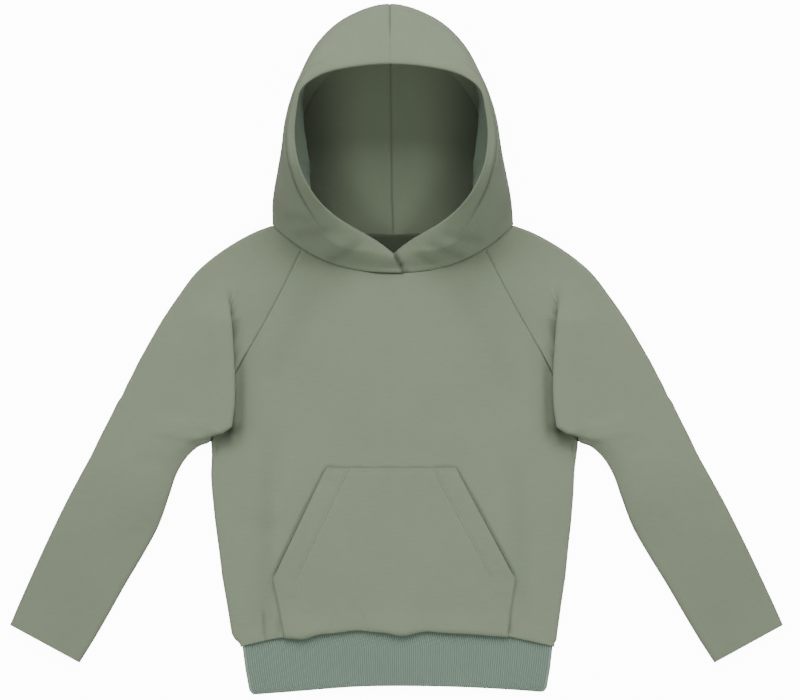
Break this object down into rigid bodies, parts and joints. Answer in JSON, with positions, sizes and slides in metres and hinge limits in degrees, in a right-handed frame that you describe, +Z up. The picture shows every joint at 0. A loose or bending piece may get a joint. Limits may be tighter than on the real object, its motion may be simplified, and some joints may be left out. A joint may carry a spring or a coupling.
{
  "type": "toddler hoodie",
  "caption": "Toddler's raglan pullover hoodie laid flat, with its hood propped open, a kangaroo pocket and a ribbed hem band.",
  "frame": {"origin": "on the table, under the middle of the laid-out garment's bounding box", "axes": "+X across the garment from cuff to cuff, to the right as it is seen from above with the hood at the top; +Y along the body towards the top of the hood; +Z up from the table"},
  "size_m": [0.7134, 0.6352, 0.1014],
  "materials": {
    "jersey": "matt brushed sweatshirt jersey, sage green",
    "rib": "matt one-by-one rib knit, a cooler sage green"
  },
  "bodies": {
    "root": {"front": "jersey", "back": "jersey", "sleeve_left": "jersey", "sleeve_right": "jersey", "hood_left": "jersey", "hood_right": "jersey", "pocket": "jersey", "hem_rib": "rib"}
  },
  "joints": []
}
